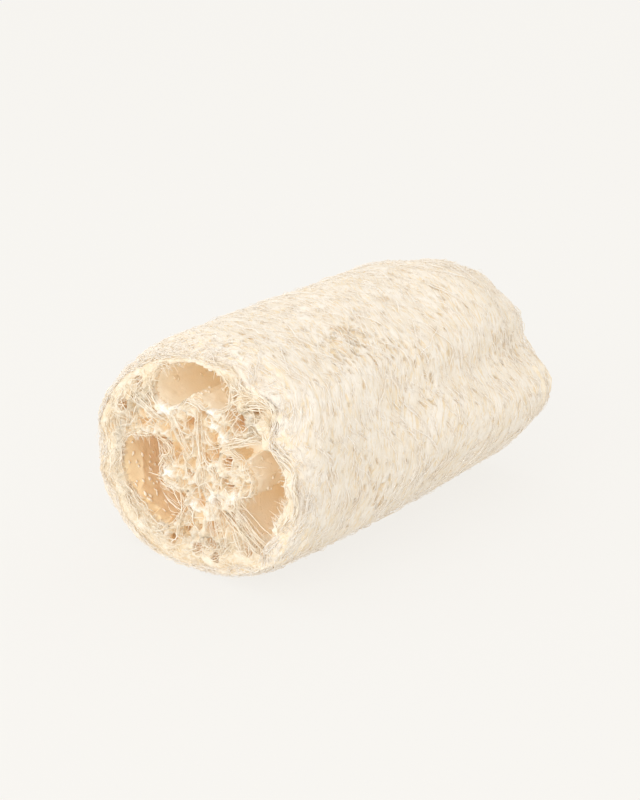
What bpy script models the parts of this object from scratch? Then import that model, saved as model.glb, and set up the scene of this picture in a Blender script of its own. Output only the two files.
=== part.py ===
"""A natural loofah sponge: the dried fibre skeleton of a loofah gourd, cut across at both ends.

It grew as one piece. The body is a lobed tube of matted fibre, thick-walled, with three seed channels
running its whole length round a fibrous core. The outside is a raised net of hoop fibres that part and
meet round lens-shaped pores. Each cut end is a web of fibre with small pits between the channels.

The sponge lies along Y with its show end at -Y, centred over the origin on the surface z = 0. Units
are metres.
"""

import math
import random

import bmesh
import bpy
from mathutils import Matrix, Vector

MM = 0.001

# Driving dimensions of the whole sponge
LENGTH = 125 * MM
WIDTH = 81 * MM
HEIGHT = 75 * MM

# Shares of the full width, and of the height above and below the core, at stations along the length
WIDTH_STATIONS = ((0.0, 0.985), (0.3, 0.985), (0.6, 1.0), (0.85, 0.985), (1.0, 0.91))
TOP_STATIONS = ((0.0, 0.955), (0.3, 0.95), (0.6, 0.985), (0.82, 1.0), (1.0, 0.90))
UNDER_STATIONS = ((0.0, 0.985), (0.5, 1.0), (1.0, 0.975))
# The three lobes and the furrows between them: angle from +X, spread round the body, and the share of
# the radius by which each swells or sinks at the show end and at the far end
LOBES = (
    (math.radians(86), math.radians(27), -0.034, 0.018),
    (math.radians(213), math.radians(44), 0.195, 0.132),
    (math.radians(358), math.radians(18), -0.084, 0.151),
    (math.radians(19), math.radians(12), -0.015, -0.168),
    (math.radians(288), math.radians(23), -0.037, -0.097),
    (math.radians(140), math.radians(38), -0.012, -0.020),
)
# Gentle lumps: share of the radius, waves round the body, turn along its length, phase
LUMPS = ((0.010, 2, 9, 0), (0.008, 5, -13, 1))

# The soft sponge sags flat where it lies
SAG = 1.3 * MM

# The cuts. The show end leans back to the right, and the far end slants back from its lower right.
SHOW_LEAN = 4.5 * MM
FAR_SLANT = 3.8 * MM
FAR_SLANT_ANGLE = math.radians(-53)
SHOW_RIM_SHARP = 2.5 * MM
SHOW_RIM_ROUND = 11.0 * MM
SHOW_ROUND_ANGLE = math.radians(90)
FAR_RIM_ROUND = 7 * MM
RIM_TURNS = (0.0, 30.0, 60.0)

# The raised net: hoop strands on every other ring, parting and meeting in lenses four columns long
COLUMNS = 52
SIDE_RINGS = 60
LENS_COLUMNS = 4
STRAND_HEIGHT = 0.75 * MM
PORE_DEPTH = 1.5 * MM
STRAND_SWAY = 0.42 * MM
# The hoops wander along the body, but not near its ends
HOOP_DRIFT = 2.2 * MM
DRIFT_WAVES = 2
DRIFT_TWIST = 7
DRIFT_FADE = 1 / 6
CAP_SHARES = (0.40, 0.54, 0.66, 0.78, 0.90)
CAP_RELIEF = 1.6 * MM

# The three seed channels: angle from +X, distance from the core, half span round the core, half depth,
# and how far the seed-bearing rib pushes in from the core
CHANNELS = {
    "upper": (math.radians(100), 22.2 * MM, 15.5 * MM, 7.0 * MM, 4.0 * MM),
    "left": (math.radians(210.5), 23.9 * MM, 14.5 * MM, 9.2 * MM, 6.0 * MM),
    "right": (math.radians(347.5), 23.0 * MM, 15.5 * MM, 8.0 * MM, 5.5 * MM),
}
CHANNEL_POINTS = 22
CHANNEL_STATIONS = 8
CHANNEL_FULLNESS = 0.85
# Share of the half span past which a channel's outline rounds off
CHANNEL_ROUND_END = 0.8
CHANNEL_SIZE_AT_ENDS = 0.94
CHANNEL_SIZE_AT_MIDDLE = 1.02
CHANNEL_ROUGHNESS = 0.45 * MM
RIB_WIDTH = 4.5 * MM
OVERSHOOT = 12 * MM

# The widest pits of the show end, as (x, height above the core, mouth radius, depth) in mm
SHOW_PITS = (
    (-5, 9, 3.0, 10), (14, 14, 4.0, 14), (4, 7, 2.8, 9), (-9, 1, 2.8, 10), (0, 0, 2.6, 9),
    (9, 1, 3.0, 12), (3, -21, 3.6, 13), (-31, 9, 2.9, 9), (27, 17, 3.4, 11), (-24, 18, 3.0, 8),
)
# The other pits of both ends, drawn at random clear of the channels and of each other
MORE_SHOW_PITS = 18
FAR_PITS = 24
PIT_RADIUS = (1.9 * MM, 3.3 * MM)
PIT_DEPTH = (8 * MM, 13 * MM)
PIT_REACH = 36 * MM
PIT_CLEARANCE = 0.9 * MM
PIT_FROM_EDGE = 3.5 * MM
PIT_TILT = 0.08
PIT_SIDES = 6
PIT_TAPER = 0.45

SEED = 7
BODY_NAME = "loofah"
FIBRE_COLOUR = (0.93, 0.83, 0.68, 1.0)
FIBRE_ROUGHNESS = 0.9


def stepped(stations, share):
    """The value at this share of the length, easing from station to station."""
    for (start, low), (end, high) in zip(stations, stations[1:]):
        if share <= end:
            part = max(0.0, (share - start) / (end - start))
            return low + (high - low) * (0.5 - 0.5 * math.cos(math.pi * part))
    return stations[-1][1]


def turned(angle, other):
    """The smallest turn between two angles."""
    return abs((angle - other + math.pi) % (2 * math.pi) - math.pi)


def lobes(angle, share):
    """The swelling of the lobes here, as a share of the radius."""
    return sum(
        (at_show + (at_far - at_show) * share) * math.exp(-((turned(angle, lobe) / spread) ** 2))
        for lobe, spread, at_show, at_far in LOBES
    )


def outer_radius(angle, share):
    """Distance of the matted surface from the core, without the net."""
    half_width = WIDTH / 2 * stepped(WIDTH_STATIONS, share)
    above = math.sin(angle) > 0
    half_height = HEIGHT / 2 * stepped(TOP_STATIONS if above else UNDER_STATIONS, share)
    ellipse = half_width * half_height / math.hypot(
        half_height * math.cos(angle), half_width * math.sin(angle)
    )
    lumps = sum(
        size * math.sin(waves * angle + twist * share + phase) for size, waves, twist, phase in LUMPS
    )
    return ellipse * (1 + lobes(angle, share) + lumps)


CORE_Z = HEIGHT / 2 - SAG


def on_section(angle, radius, y):
    """A point of the sponge, flattened where it lies on the surface."""
    return Vector((radius * math.cos(angle), y, max(0.0, CORE_Z + radius * math.sin(angle))))


def show_y(x):
    """The cut at the show end: right of the middle it lies further back."""
    return -LENGTH / 2 + SHOW_LEAN * (x / WIDTH + 0.5)


def far_y(angle, radius):
    """The cut at the far end, furthest out at its lower right."""
    away = 1 - math.cos(angle - FAR_SLANT_ANGLE)
    return LENGTH / 2 - FAR_SLANT * away / 2 * radius / (WIDTH / 2)


def show_rim(angle):
    """Rounding of the show end's rim: sharp below, soft above."""
    soft = 0.5 + 0.5 * math.cos(angle - SHOW_ROUND_ANGLE)
    return SHOW_RIM_SHARP + (SHOW_RIM_ROUND - SHOW_RIM_SHARP) * soft


def lens_phase(ring, column):
    """0 where two strands meet, 1 in the middle of the pore between them."""
    strand = ring // 2
    along = (column / LENS_COLUMNS + 0.5 * (strand % 2)) % 1.0
    return 0.5 - 0.5 * math.cos(2 * math.pi * along)


def side_point(ring, column, rng):
    """A point of the raised net on the side: strands stand proud, and the pores between them sink."""
    angle = 2 * math.pi * column / COLUMNS
    share = (ring + 0.5) / SIDE_RINGS
    radius = outer_radius(angle, share)
    fade = min(1.0, share / DRIFT_FADE, (1 - share) / DRIFT_FADE)
    start = show_y(radius * math.cos(angle)) + show_rim(angle)
    end = far_y(angle, radius) - FAR_RIM_ROUND
    drift = HOOP_DRIFT * fade * math.sin(DRIFT_WAVES * angle + DRIFT_TWIST * share)
    y = start + (end - start) * share + drift
    if ring % 2 == 0:
        apart = lens_phase(ring, column) - lens_phase(ring - 2, column)
        y += STRAND_SWAY * apart * rng.uniform(0.6, 1.4)
        relief = STRAND_HEIGHT * rng.uniform(0.5, 1.3)
    else:
        relief = STRAND_HEIGHT * 0.4 - PORE_DEPTH * lens_phase(ring, column) * rng.uniform(0.35, 1.3)
        y += STRAND_SWAY * rng.uniform(-0.5, 0.5)
    return on_section(angle + rng.uniform(-0.2, 0.2) / COLUMNS * math.pi, radius + relief, y)


def net_relief(ring, column, rng):
    """How far the net stands out of the rim or the cut here: strands on even rings, pores on odd ones."""
    if ring % 2 == 0:
        return CAP_RELIEF * rng.uniform(0.2, 1.0)
    return CAP_RELIEF * (0.3 - lens_phase(ring, column) * rng.uniform(0.4, 1.3))


def rim_ring(turn, index, at_show_end, rng):
    """A ring of the rounded rim. Turn 0 lies on the cut and 90 degrees on the side."""
    across, along = math.sin(math.radians(turn)), math.cos(math.radians(turn))
    ring = []
    for column in range(COLUMNS):
        angle = 2 * math.pi * column / COLUMNS
        full = outer_radius(angle, 0.0 if at_show_end else 1.0)
        rim = show_rim(angle) if at_show_end else FAR_RIM_ROUND
        relief = net_relief(index, column, rng)
        radius = full - rim * (1 - across) + relief * across
        inward = rim * (1 - along) - relief * along
        if at_show_end:
            y = show_y(radius * math.cos(angle)) + inward
        else:
            y = far_y(angle, radius) - inward
        ring.append(on_section(angle, radius, y))
    return ring


def cap_ring(share, index, at_show_end, rng):
    """A ring of a cut end, where the net turns in over the cut."""
    ring = []
    for column in range(COLUMNS):
        angle = 2 * math.pi * column / COLUMNS
        full = outer_radius(angle, 0.0 if at_show_end else 1.0)
        rim = show_rim(angle) if at_show_end else FAR_RIM_ROUND
        radius = (full - rim) * share
        proud = net_relief(index, column, rng) if index else 0.0
        x = radius * math.cos(angle)
        y = show_y(x) - proud if at_show_end else far_y(angle, radius) + proud
        ring.append(on_section(angle, radius, y))
    return ring


def skinned(name, rings):
    """A closed body through these rings, which turn the same way round, with a flat cap on each end."""
    body = bmesh.new()
    rows = [[body.verts.new(point) for point in ring] for ring in rings]
    count = len(rows[0])
    for row, following in zip(rows, rows[1:]):
        for k in range(count):
            beside = (k + 1) % count
            body.faces.new((row[k], row[beside], following[beside], following[k]))
    body.faces.new(rows[0])
    body.faces.new(rows[-1])
    bmesh.ops.recalc_face_normals(body, faces=body.faces)
    mesh = bpy.data.meshes.new(name)
    body.to_mesh(mesh)
    body.free()
    return bpy.data.objects.new(name, mesh)


def sponge_body(rng):
    """The whole sponge before its channels and pits are opened."""
    caps = list(enumerate(CAP_SHARES))
    rims = list(enumerate(RIM_TURNS, start=len(CAP_SHARES)))
    rings = [cap_ring(share, index, True, rng) for index, share in caps]
    rings += [rim_ring(turn, index, True, rng) for index, turn in rims]
    rings += [
        [side_point(ring, column, rng) for column in range(COLUMNS)] for ring in range(SIDE_RINGS)
    ]
    rings += [rim_ring(turn, index, False, rng) for index, turn in reversed(rims)]
    rings += [cap_ring(share, index, False, rng) for index, share in reversed(caps)]
    return skinned(BODY_NAME, rings)


def bulged(turning):
    """A sine or cosine fattened, so that an outline drawn with it is fuller than an ellipse."""
    return math.copysign(abs(turning) ** CHANNEL_FULLNESS, turning)


def channel_section(channel, y, size, rng):
    """One section of a seed channel: a bean bent round the core, pinched by the rib that bore the seeds."""
    angle, distance, half_span, half_depth, rib = channel
    section = []
    for k in range(CHANNEL_POINTS):
        turn = 2 * math.pi * k / CHANNEL_POINTS
        along = half_span * size * bulged(math.cos(turn))
        across = half_depth * size * bulged(math.sin(turn))
        if across < 0:
            across += rib * math.exp(-((along / RIB_WIDTH) ** 2))
        across += CHANNEL_ROUGHNESS * rng.uniform(-1, 1)
        bearing = angle + along / distance
        radius = distance + across
        section.append(Vector((radius * math.cos(bearing), y, CORE_Z + radius * math.sin(bearing))))
    return section


def channel_cutter(name, channel, rng):
    """A seed channel's hollow, from past one cut to past the other, fattest at mid length."""
    start, end = -LENGTH / 2 - OVERSHOOT, LENGTH / 2 + OVERSHOOT
    rings = []
    for k in range(CHANNEL_STATIONS):
        share = k / (CHANNEL_STATIONS - 1)
        swell = CHANNEL_SIZE_AT_MIDDLE - CHANNEL_SIZE_AT_ENDS
        size = CHANNEL_SIZE_AT_ENDS + swell * math.sin(math.pi * share)
        rings.append(channel_section(channel, start + (end - start) * share, size, rng))
    return skinned("channel_" + name, rings)


def clear_of_channels(x, height, margin):
    """Whether a pit here leaves a wall between itself and every channel."""
    radius, bearing = math.hypot(x, height), math.atan2(height, x)
    for angle, distance, half_span, half_depth, _rib in CHANNELS.values():
        along = max(0.0, turned(bearing, angle) * distance - half_span * CHANNEL_ROUND_END)
        across = max(0.0, abs(radius - distance) - half_depth)
        if math.hypot(along, across) < margin:
            return False
    return True


def pit_cutter(name, x, height, mouth, depth, at_show_end, rng):
    """A tapering pit running in from a cut end."""
    bmesh_pit = bmesh.new()
    bmesh.ops.create_cone(
        bmesh_pit, cap_ends=True, segments=PIT_SIDES, radius1=mouth * PIT_TAPER, radius2=mouth,
        depth=depth * 2,
    )
    mesh = bpy.data.meshes.new(name)
    bmesh_pit.to_mesh(mesh)
    bmesh_pit.free()
    pit = bpy.data.objects.new(name, mesh)
    bearing = math.atan2(height, x)
    y = show_y(x) if at_show_end else far_y(bearing, math.hypot(x, height))
    tilt = (rng.uniform(-PIT_TILT, PIT_TILT), rng.uniform(-PIT_TILT, PIT_TILT))
    outward = Vector((tilt[0], -1 if at_show_end else 1, tilt[1]))
    turn = outward.to_track_quat("Z", "Y").to_matrix().to_4x4()
    pit.matrix_world = Matrix.Translation(Vector((x, y, CORE_Z + height))) @ turn
    return pit


def drawn_pits(placed, count, at_show_end, rng):
    """The pits already placed and this many more, as (x, height, radius, depth)."""
    pits = list(placed)
    while len(pits) < len(placed) + count:
        bearing, reach = rng.uniform(0, 2 * math.pi), PIT_REACH * math.sqrt(rng.random())
        mouth, depth = rng.uniform(*PIT_RADIUS), rng.uniform(*PIT_DEPTH)
        x, height = reach * math.cos(bearing), reach * math.sin(bearing)
        edge = outer_radius(bearing, 0.0 if at_show_end else 1.0)
        apart = all(
            math.hypot(x - other[0], height - other[1]) > mouth + other[2] + PIT_CLEARANCE
            for other in pits
        )
        inside = min(edge - reach, CORE_Z + height) > mouth + PIT_FROM_EDGE
        if inside and apart and clear_of_channels(x, height, mouth + PIT_CLEARANCE):
            pits.append((x, height, mouth, depth))
    return pits


def pit_cutters(rng):
    """Every pit of both ends."""
    widest = [tuple(value * MM for value in pit) for pit in SHOW_PITS]
    show = drawn_pits(widest, MORE_SHOW_PITS, True, rng)
    far = drawn_pits([], FAR_PITS, False, rng)
    cutters = [pit_cutter(f"show_pit_{k}", *pit, True, rng) for k, pit in enumerate(show)]
    cutters += [pit_cutter(f"far_pit_{k}", *pit, False, rng) for k, pit in enumerate(far)]
    return cutters


def centre_over_origin(body, followers):
    """Put the middle of the body's outline over the origin, and move the rest along."""
    for axis in (0, 1):
        reach = [vertex.co[axis] for vertex in body.data.vertices]
        for thing in [body, *followers]:
            thing.location[axis] -= (min(reach) + max(reach)) / 2


def fibre_material():
    """Dry plant fibre, cream and matt."""
    material = bpy.data.materials.new("dry_fibre")
    material.use_nodes = True
    shader = material.node_tree.nodes["Principled BSDF"]
    shader.inputs["Base Color"].default_value = FIBRE_COLOUR
    shader.inputs["Roughness"].default_value = FIBRE_ROUGHNESS
    shader.inputs["Metallic"].default_value = 0.0
    return material


def main():
    for existing in list(bpy.data.objects):
        bpy.data.objects.remove(existing, do_unlink=True)
    rng = random.Random(SEED)
    sponge = bpy.data.collections.new("loofah_sponge")
    cutters = bpy.data.collections.new("cutters")
    for collection in (sponge, cutters):
        bpy.context.scene.collection.children.link(collection)

    body = sponge_body(rng)
    body.data.materials.append(fibre_material())
    sponge.objects.link(body)

    hollows = [channel_cutter(name, channel, rng) for name, channel in CHANNELS.items()]
    hollows += pit_cutters(rng)
    for cutter in hollows:
        cutter.hide_render = True
        cutter.display_type = "WIRE"
        cutters.objects.link(cutter)
    centre_over_origin(body, hollows)

    opening = body.modifiers.new("channels_and_pits", "BOOLEAN")
    opening.operation = "DIFFERENCE"
    opening.operand_type = "COLLECTION"
    opening.collection = cutters
    opening.solver = "EXACT"


main()
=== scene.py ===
"""The looks of a natural loofah sponge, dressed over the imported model.

The real thing is the dried fibre skeleton of one gourd, cut across at both ends. Here it is a matted pith
with a net of single fibres over it, a torn web on each cut, and the linings of its three seed channels.
"""

import math

import bpy
import numpy as np
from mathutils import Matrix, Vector
from mathutils.bvhtree import BVHTree
from mathutils.geometry import delaunay_2d_cdt


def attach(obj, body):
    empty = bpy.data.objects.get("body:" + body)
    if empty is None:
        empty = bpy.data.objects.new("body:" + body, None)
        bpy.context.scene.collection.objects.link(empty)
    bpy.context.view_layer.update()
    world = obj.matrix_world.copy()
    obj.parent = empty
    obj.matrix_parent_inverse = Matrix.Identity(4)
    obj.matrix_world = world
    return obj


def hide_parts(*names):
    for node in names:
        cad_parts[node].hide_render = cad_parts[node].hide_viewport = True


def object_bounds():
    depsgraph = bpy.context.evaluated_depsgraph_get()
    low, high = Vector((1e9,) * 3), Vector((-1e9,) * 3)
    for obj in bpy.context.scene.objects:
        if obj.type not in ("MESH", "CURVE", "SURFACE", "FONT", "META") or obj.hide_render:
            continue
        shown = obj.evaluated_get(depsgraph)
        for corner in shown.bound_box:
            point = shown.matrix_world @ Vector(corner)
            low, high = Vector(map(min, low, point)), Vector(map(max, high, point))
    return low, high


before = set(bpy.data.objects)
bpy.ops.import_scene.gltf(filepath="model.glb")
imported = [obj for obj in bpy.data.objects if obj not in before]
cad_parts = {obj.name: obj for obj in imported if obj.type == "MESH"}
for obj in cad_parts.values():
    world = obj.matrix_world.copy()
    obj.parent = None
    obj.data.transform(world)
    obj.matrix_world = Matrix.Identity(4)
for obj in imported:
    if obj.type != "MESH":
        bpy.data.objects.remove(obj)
cad_low, cad_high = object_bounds()
MM = 0.001

# The photograph looks down on the sponge from its front right, through a lens a little longer than
# normal, so its far end draws in only slightly.
CAMERA_AZIMUTH = math.radians(41.3)
CAMERA_ELEVATION = math.radians(21.5)
CAMERA_DISTANCE = 439.5 * MM
CAMERA_LENS_MM = 63.6
CAMERA_AIM_HEIGHT = 36.3 * MM
CAMERA_AIM_LEFT = 5.8 * MM

bpy.ops.object.select_all(action="DESELECT")
camera_back = Vector((
    math.sin(CAMERA_AZIMUTH) * math.cos(CAMERA_ELEVATION),
    -math.cos(CAMERA_AZIMUTH) * math.cos(CAMERA_ELEVATION),
    math.sin(CAMERA_ELEVATION),
))
camera_right = Vector((math.cos(CAMERA_AZIMUTH), math.sin(CAMERA_AZIMUTH), 0))
camera_aim = Vector((0, 0, CAMERA_AIM_HEIGHT)) - camera_right * CAMERA_AIM_LEFT
bpy.ops.object.camera_add(location=camera_aim + camera_back * CAMERA_DISTANCE)
camera = bpy.context.object
camera.name = "camera"
camera.data.lens = CAMERA_LENS_MM
camera.rotation_mode = "QUATERNION"
camera.rotation_quaternion = (-camera_back).to_track_quat("-Z", "Y")
bpy.context.scene.camera = camera

# A pale studio table of matt opal acrylic, lit from beneath as well as from above, so that it shows
# hardly any shadow and the sponge is lit from every side.
BOARD_GLOW = "F6F4F0"
BOARD_GLOW_SHARE = 0.845
BOARD = "666563"
BOARD_WIDTH = 6.0


def linear(hex_colour):
    """The linear colour of an sRGB hex value."""
    channels = [int(hex_colour[k:k + 2], 16) / 255 for k in (0, 2, 4)]
    return (*[c / 12.92 if c <= 0.04045 else ((c + 0.055) / 1.055) ** 2.4 for c in channels], 1.0)


def add(material, kind, settings, links=()):
    """A shader node with its own settings and input values, and each named input fed by a socket."""
    node = material.node_tree.nodes.new(kind)
    for key, value in settings.items():
        if isinstance(key, str) and hasattr(node, key):
            setattr(node, key, value)
        else:
            node.inputs[key].default_value = value
    for key, socket in dict(links).items():
        material.node_tree.links.new(socket, node.inputs[key])
    return node


def new_material(name):
    """An empty material and its output node."""
    material = bpy.data.materials.new(name)
    material.use_nodes = True
    material.node_tree.nodes.clear()
    return material, material.node_tree.nodes.new("ShaderNodeOutputMaterial")


bpy.ops.mesh.primitive_plane_add(size=BOARD_WIDTH, location=(0, 0, 0))
board = bpy.context.object
board.name = "studio_board"
board_material, board_output = new_material("lit_opal_acrylic")
board_shader = add(board_material, "ShaderNodeBsdfPrincipled", {
    "Base Color": linear(BOARD), "Roughness": 0.95, "Specular IOR Level": 0.0,
    "Emission Color": linear(BOARD_GLOW), "Emission Strength": BOARD_GLOW_SHARE,
})
board_material.node_tree.links.new(board_shader.outputs["BSDF"], board_output.inputs["Surface"])
board.data.materials.append(board_material)

# Soft light comes evenly from all round, with two large weak soft boxes, one overhead to the left and
# one in front. Dried fibre absorbs so little light that it is followed through many bounces.
SKY_COLOUR = (1.0, 0.99, 0.97, 1.0)
SKY_STRENGTH = 1.10
SOFT_BOX_WIDTH = 0.8
# Each soft box: its name, its place in metres and its watts
SOFT_BOXES = (
    ("overhead_soft_box", (-0.25, -0.05, 0.9), 0.15),
    ("front_soft_box", (0.12, -0.9, 0.3), 3.0),
)
LIGHT_AIM = Vector((0, 0, 30 * MM))
LIGHT_BOUNCES = 24

world = bpy.data.worlds.new("white_studio")
world.use_nodes = True
sky = world.node_tree.nodes["Background"].inputs
sky["Color"].default_value = SKY_COLOUR
sky["Strength"].default_value = SKY_STRENGTH
scene = bpy.context.scene
scene.world = world
scene.view_settings.view_transform = "Standard"
scene.cycles.max_bounces = LIGHT_BOUNCES
scene.cycles.diffuse_bounces = LIGHT_BOUNCES

for box_name, place, watts in SOFT_BOXES:
    bpy.ops.object.light_add(type="AREA", location=place)
    lamp = bpy.context.object
    lamp.name = box_name
    lamp.data.energy = watts
    lamp.data.shape = "SQUARE"
    lamp.data.size = SOFT_BOX_WIDTH
    lamp.rotation_euler = (LIGHT_AIM - Vector(place)).to_track_quat("-Z", "Y").to_euler()

# The pith: the dense mat of short fibre that fills the walls of the sponge and lines its channels. It
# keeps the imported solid's form. Inside the sponge its mesh can be coarse, for the lining is smooth.
PITH_GRAIN = 1.7 * MM
CUT_SLICE = 15 * MM
STRETCH_WIDTH = 200 * MM
PITH_BELOW_SKIN = 1.3 * MM
# The depths below the side over which the pith turns tan, painted shade deep in the wall
PITH_SHADE_DEPTHS = (2 * MM, 5 * MM)
DRAWN_ZONE = 3 * MM
DEEP_WALL = 5 * MM
PITH_LUMP = 3.2 * MM
PITH_LUMP_HEIGHT = 0.5 * MM
LINING_BELOW_SIDE = 4.5 * MM
LINING_BEHIND_CUT = 2.4 * MM
LINING_PAST_WALL = 1.6 * MM
PITH_COLOURS = ((0.40, "EEDFC6"), (0.52, "F2E6D2"), (0.62, "F5ECDD"))
# Painted shade: the tan that deep pith is given, for the warm light that goes round inside the fibre
PITH_SHADE_COLOUR = "EDD1A9"
MEMBRANE_COLOUR = "FCF9F3"
PITH_PATCH = 6 * MM
LINING_PATCH = 9 * MM
GRAIN_SPACING = 0.9 * MM
GRAIN_HEIGHT = 0.3 * MM
# The strokes of the combed fibre: how far apart, how deep on the side and in the pith, how many times
# longer than wide, round how wide a ring, between which depths below the side they lose their direction,
# and the painted shade between them, in the grooves of their bump. Real ones are about half as far apart,
# too fine to show.
COMB_SPACING = 0.85 * MM
COMB_DEPTH = 0.42 * MM
PITH_COMB_DEPTH = 0.45 * COMB_DEPTH
COMB_STRETCH = 4.4
COMB_RADIUS = 40 * MM
COMB_FADE = (7 * MM, 12 * MM)
STROKE_SHADE_COLOUR = "E8D1AA"
# The walls of the three channels: the bearing of each from the core, in degrees, its colours deep inside
# and its colour near the show cut, a darker tan that is painted shade for the light that goes round inside
# it
LININGS = (
    (100, ((0.40, "FEF7E8"), (0.60, "FEFAF0")), "FAEFD9"),
    (210, ((0.40, "F8E8CA"), (0.60, "FAEED6")), "F5DCB2"),
    (348, ((0.40, "FDF4E0"), (0.60, "FEF8EA")), "FBF0DB"),
)
MOUTH_REACH = 24 * MM

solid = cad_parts["loofah"]
rng = np.random.default_rng(12)


def bvh_of(piece):
    """A tree of the piece's faces, which rays can be cast at."""
    places = [vertex.co for vertex in piece.data.vertices]
    return BVHTree.FromPolygons(places, [face.vertices for face in piece.data.polygons])


solid_tree = bvh_of(solid)


def blurred(values, reach, axis, wrap):
    """The values evened out along one axis, over about this many samples to each side."""
    width = int(3 * reach)
    weights = np.exp(-0.5 * (np.arange(-width, width + 1) / reach) ** 2)
    weights /= weights.sum()
    pad = [(0, 0)] * values.ndim
    pad[axis] = (width, width)
    padded = np.pad(values, pad, mode="wrap" if wrap else "edge")
    return np.apply_along_axis(lambda line: np.convolve(line, weights, "valid"), axis, padded)


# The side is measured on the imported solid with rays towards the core, at evenly spaced angles. A ray that
# finds less than the usual share of the radius went down a pore or past the rim, and is left out. What is
# found is evened out over so many samples: round the gourd, along it close to a rim, and along it elsewhere.
AROUND, ALONG = 256, 300
RAY_START = 70 * MM
RAY_INSET = 0.2 * MM
USUAL_SHARE = 0.75
EVEN_ROUND, EVEN_AT_RIM, EVEN_ALONG = 3, 1.2, 6
RIM_SHARE = 0.06
core_height = cad_high.z / 2


def measured_side():
    """The side and both rims of the solid as profiles from cut to cut, one for each angle."""
    levels = np.linspace(cad_low.y + RAY_INSET, cad_high.y - RAY_INSET, ALONG)
    radius = np.zeros((AROUND, ALONG))
    first, last = np.zeros(AROUND), np.zeros(AROUND)
    for i in range(AROUND):
        angle = i * math.tau / AROUND
        out = Vector((math.cos(angle), 0, math.sin(angle)))
        found = np.full(ALONG, np.nan)
        for j, y in enumerate(levels):
            start = Vector((0, y, core_height)) + out * RAY_START
            distance = solid_tree.ray_cast(start, -out, RAY_START)[3]
            if distance is not None:
                found[j] = RAY_START - distance
        near = found > USUAL_SHARE * np.nanmedian(found)
        inside = np.flatnonzero(near)
        first[i], last[i] = levels[inside[0]], levels[inside[-1]]
        even = np.linspace(first[i], last[i], ALONG)
        radius[i] = np.interp(even, levels[near], found[near])
    first, last, radius = (blurred(values, EVEN_ROUND, 0, True) for values in (first, last, radius))
    share = np.linspace(0, 1, ALONG)
    off_rim = np.clip(np.minimum(share, 1 - share) / RIM_SHARE, 0, 1)
    at_rim = blurred(radius, EVEN_AT_RIM, 1, False)
    return first, last, at_rim * (1 - off_rim) + blurred(radius, EVEN_ALONG, 1, False) * off_rim


side_first, side_last, side_radius = measured_side()


def below_side(points):
    """How far each point lies below the side of the sponge."""
    x, height = points[:, 0], points[:, 2] - core_height
    i = (np.arctan2(height, x) % math.tau / math.tau * AROUND).astype(int) % AROUND
    share = (points[:, 1] - side_first[i]) / (side_last[i] - side_first[i])
    return side_radius[i, (np.clip(share, 0, 1) * (ALONG - 1)).astype(int)] - np.hypot(x, height)


# Each cut is measured with rays along the sponge, on a fine grid over the section. A place deeper than the
# hole depth is a hole, and a hole at least twice the channel half wide is a seed channel.
GRID = 0.6 * MM
GRID_MARGIN = 2 * MM
CUT_RAY_START = 100 * MM
CUT_AT_LEAST = 45 * MM
CUT_UNEVENNESS = 2.5 * MM
EVEN_CUT, EVEN_GAP, EVEN_PITS = 6, 1.2, 1.0
HOLE_DEPTH = 2.2 * MM
CHANNEL_HALF = 3.0 * MM
PITS_INSIDE_RIM = 3 * MM
# Where the show cut is torn away beside a channel: across, up, half width, half height and depth, in mm
TORN_MOUTHS = (
    (-27.5, 27.0, 3.6, 8.5, 6.0), (-13.0, 18.8, 5.4, 4.0, 7.0), (-17.5, 35.5, 6.0, 2.6, 6.0),
    (19.0, 43.4, 7.6, 2.9, 7.0), (23.0, 18.0, 5.0, 4.6, 6.0), (-12.5, 57.0, 3.6, 4.6, 6.0),
)
grid_x = np.arange(cad_low.x - GRID_MARGIN, cad_high.x + GRID_MARGIN, GRID)
grid_z = np.arange(-GRID_MARGIN, cad_high.z + GRID_MARGIN, GRID)
over_x, over_z = np.meshgrid(grid_x, grid_z, indexing="ij")


def measured_cut(outward):
    """How far out along Y the solid reaches over the grid, seen from outside this end."""
    found = np.full(over_x.shape, np.nan)
    for i, x in enumerate(grid_x):
        for k, z in enumerate(grid_z):
            start = Vector((x, outward * CUT_RAY_START, z))
            hit = solid_tree.ray_cast(start, Vector((0, -outward, 0)), CUT_RAY_START)[0]
            if hit is not None:
                found[i, k] = hit.y
    return found


def cut_surface(found, outward):
    """The even surface of a cut, without its net, pits and channels."""
    kept = np.isfinite(found) & (found * outward > CUT_AT_LEAST)
    for _ in range(4):
        terms = np.c_[np.ones(kept.sum()), over_x[kept], over_z[kept]]
        plane = np.linalg.lstsq(terms, found[kept], rcond=None)[0]
        level = plane[0] + plane[1] * over_x + plane[2] * over_z
        kept = np.isfinite(found) & (np.abs(np.nan_to_num(found, nan=9.0) - level) < CUT_UNEVENNESS)
    offset, weight = np.where(kept, found - level, 0.0), kept.astype(float)
    for axis in (0, 1):
        offset, weight = (blurred(values, EVEN_CUT, axis, False) for values in (offset, weight))
    return level + np.where(weight > 0.02, offset / np.maximum(weight, 0.02), 0.0)


def distance_to(marked):
    """Distance of every grid place from the edge of the marked ones."""
    edge = marked & ~(
        np.roll(marked, 1, 0) & np.roll(marked, -1, 0) & np.roll(marked, 1, 1) & np.roll(marked, -1, 1)
    )
    nearest = np.full(over_x.shape, 1.0)
    for from_x, from_z in zip(over_x[edge], over_z[edge]):
        np.minimum(nearest, np.hypot(over_x - from_x, over_z - from_z), out=nearest)
    return nearest


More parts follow.
